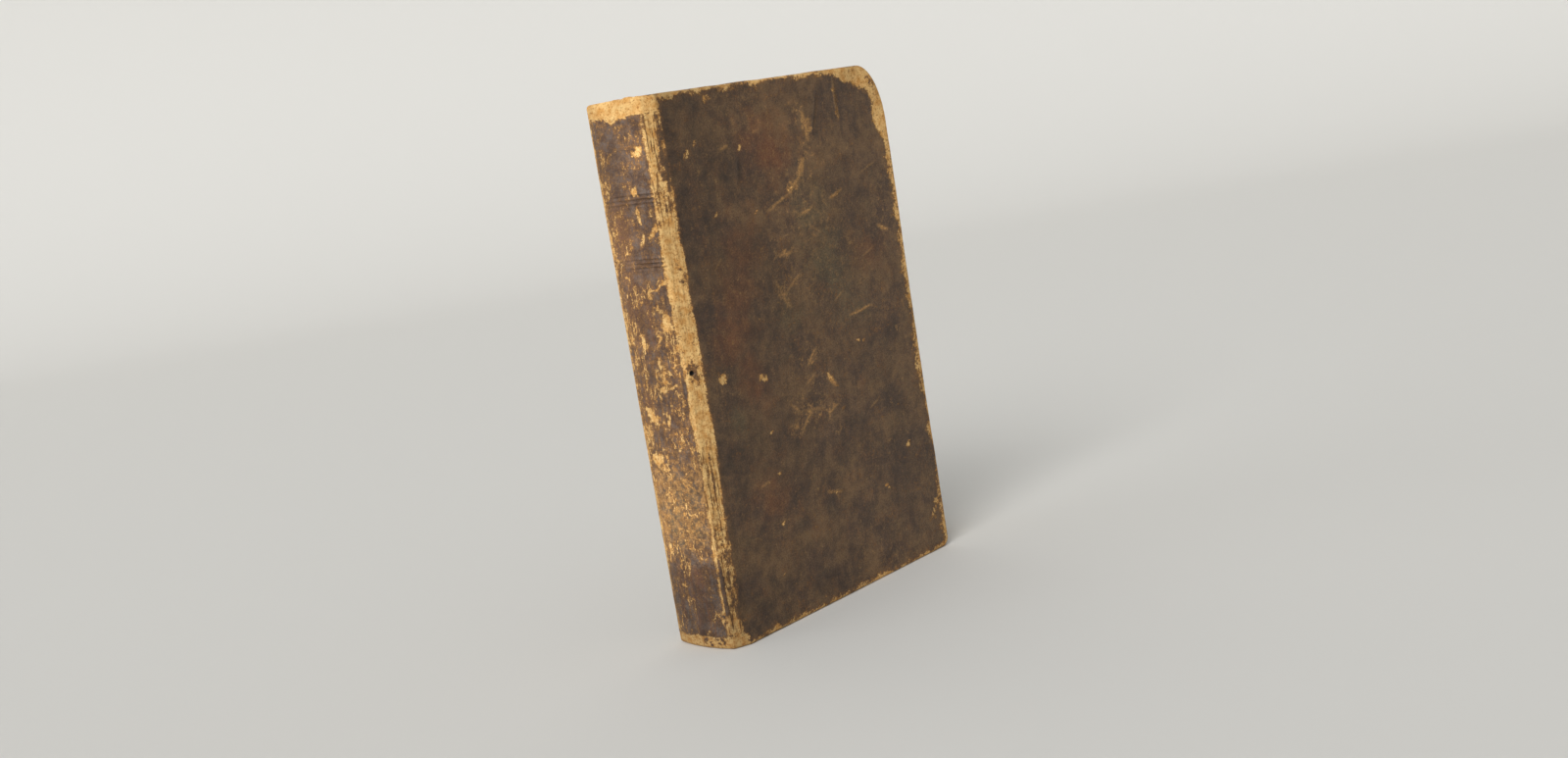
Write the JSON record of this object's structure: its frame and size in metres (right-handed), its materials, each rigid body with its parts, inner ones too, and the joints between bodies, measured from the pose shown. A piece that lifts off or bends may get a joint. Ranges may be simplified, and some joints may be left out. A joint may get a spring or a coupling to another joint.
{
  "type": "book",
  "caption": "Small antique book in full brown leather over pasteboard, with a smooth rounded spine and two covers that open on leather joints.",
  "frame": {"origin": "middle of the closed book's footprint, on the surface its tail edges stand on", "axes": "+Z from tail to head, +X from the spine to the fore-edge, front cover facing -Y"},
  "size_m": [0.1174, 0.03, 0.178],
  "materials": {
    "page_paper": "toned rag paper, cut edges",
    "endpaper": "toned laid paper",
    "pasteboard": "grey-brown millboard",
    "cover_calf": "worn, dull mottled brown calf",
    "spine_calf": "flaked and rubbed brown calf",
    "hemp_cord": "plied hemp",
    "endband_thread": "wound linen thread"
  },
  "bodies": {
    "block": {"text_block": "page_paper", "sewing_cords": "hemp_cord", "head_endband": "endband_thread", "tail_endband": "endband_thread", "spine_leather": "spine_calf"},
    "front_cover": {"front_board": "pasteboard", "front_leather": "cover_calf", "front_pastedown": "endpaper"},
    "back_cover": {"back_board": "pasteboard", "back_leather": "cover_calf", "back_pastedown": "endpaper"}
  },
  "joints": [
    {"name": "front_joint", "type": "hinge", "parent": "block", "child": "front_cover", "pos_m": [-0.0563, -0.0122, 0.089], "axis": [0, 0, -1], "range_deg": [0, 150]},
    {"name": "back_joint", "type": "hinge", "parent": "block", "child": "back_cover", "pos_m": [-0.0563, 0.0122, 0.089], "axis": [0, 0, 1], "range_deg": [0, 150]}
  ]
}
